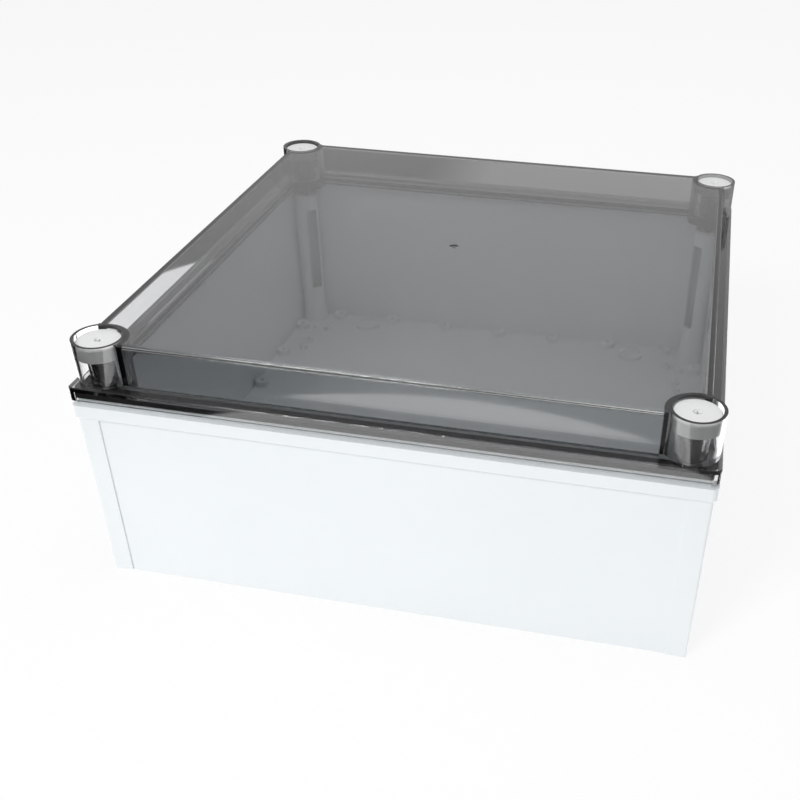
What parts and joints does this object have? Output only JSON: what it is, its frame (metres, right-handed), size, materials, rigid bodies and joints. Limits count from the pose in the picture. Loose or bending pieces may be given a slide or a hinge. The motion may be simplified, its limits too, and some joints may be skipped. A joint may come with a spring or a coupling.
{
  "type": "hinged polycarbonate enclosure",
  "caption": "Square hinged enclosure with an opaque base, a smoked transparent cover on side hinges and quarter-turn screws in clear corner towers.",
  "frame": {"origin": "centre of the flat back face, on the surface that the enclosure lies on or is screwed to", "axes": "+Z out of the back face through the cover, -Y the front side wall, -X the hinge side"},
  "size_m": [0.3925, 0.38, 0.168],
  "materials": {
    "base_polycarbonate": "moulded opaque light-grey polycarbonate, satin",
    "smoked_polycarbonate": "moulded transparent smoke-grey polycarbonate, polished",
    "white_nylon": "moulded white polyamide, satin",
    "black_nylon": "moulded black glass-filled polyamide",
    "hinge_plastic": "moulded light-grey polyamide, fine grain",
    "foam_gasket": "foamed black polyurethane",
    "seal_rubber": "black nitrile rubber",
    "stainless_steel": "drawn stainless steel"
  },
  "bodies": {
    "base": {"base_shell": "base_polycarbonate", "front_left_catch": "white_nylon", "front_right_catch": "white_nylon", "rear_left_catch": "white_nylon", "rear_right_catch": "white_nylon", "front_hinge_leaf": "hinge_plastic", "rear_hinge_leaf": "hinge_plastic", "front_hinge_pin": "stainless_steel", "rear_hinge_pin": "stainless_steel", "front_hinge_screws": "stainless_steel", "rear_hinge_screws": "stainless_steel"},
    "cover": {"cover_shell": "smoked_polycarbonate", "cover_gasket": "foam_gasket"},
    "front_left_fastener": {"front_left_screw": "black_nylon", "front_left_screw_cap": "white_nylon", "front_left_seal_ring": "seal_rubber", "front_left_retaining_clip": "white_nylon"},
    "front_right_fastener": {"front_right_screw": "black_nylon", "front_right_screw_cap": "white_nylon", "front_right_seal_ring": "seal_rubber", "front_right_retaining_clip": "white_nylon"},
    "rear_left_fastener": {"rear_left_screw": "black_nylon", "rear_left_screw_cap": "white_nylon", "rear_left_seal_ring": "seal_rubber", "rear_left_retaining_clip": "white_nylon"},
    "rear_right_fastener": {"rear_right_screw": "black_nylon", "rear_right_screw_cap": "white_nylon", "rear_right_seal_ring": "seal_rubber", "rear_right_retaining_clip": "white_nylon"}
  },
  "joints": [
    {"name": "cover_hinge", "type": "hinge", "parent": "base", "child": "cover", "pos_m": [-0.198, 0, 0.117], "axis": [0, -1, 0], "range_deg": [0, 180]},
    {"name": "front_left_turn", "type": "hinge", "parent": "cover", "child": "front_left_fastener", "pos_m": [-0.1731, -0.1731, 0.16], "axis": [0, 0, -1], "range_deg": [0, 90]},
    {"name": "front_right_turn", "type": "hinge", "parent": "cover", "child": "front_right_fastener", "pos_m": [0.1731, -0.1731, 0.16], "axis": [0, 0, -1], "range_deg": [0, 90]},
    {"name": "rear_left_turn", "type": "hinge", "parent": "cover", "child": "rear_left_fastener", "pos_m": [-0.1731, 0.1731, 0.16], "axis": [0, 0, -1], "range_deg": [0, 90]},
    {"name": "rear_right_turn", "type": "hinge", "parent": "cover", "child": "rear_right_fastener", "pos_m": [0.1731, 0.1731, 0.16], "axis": [0, 0, -1], "range_deg": [0, 90]}
  ]
}
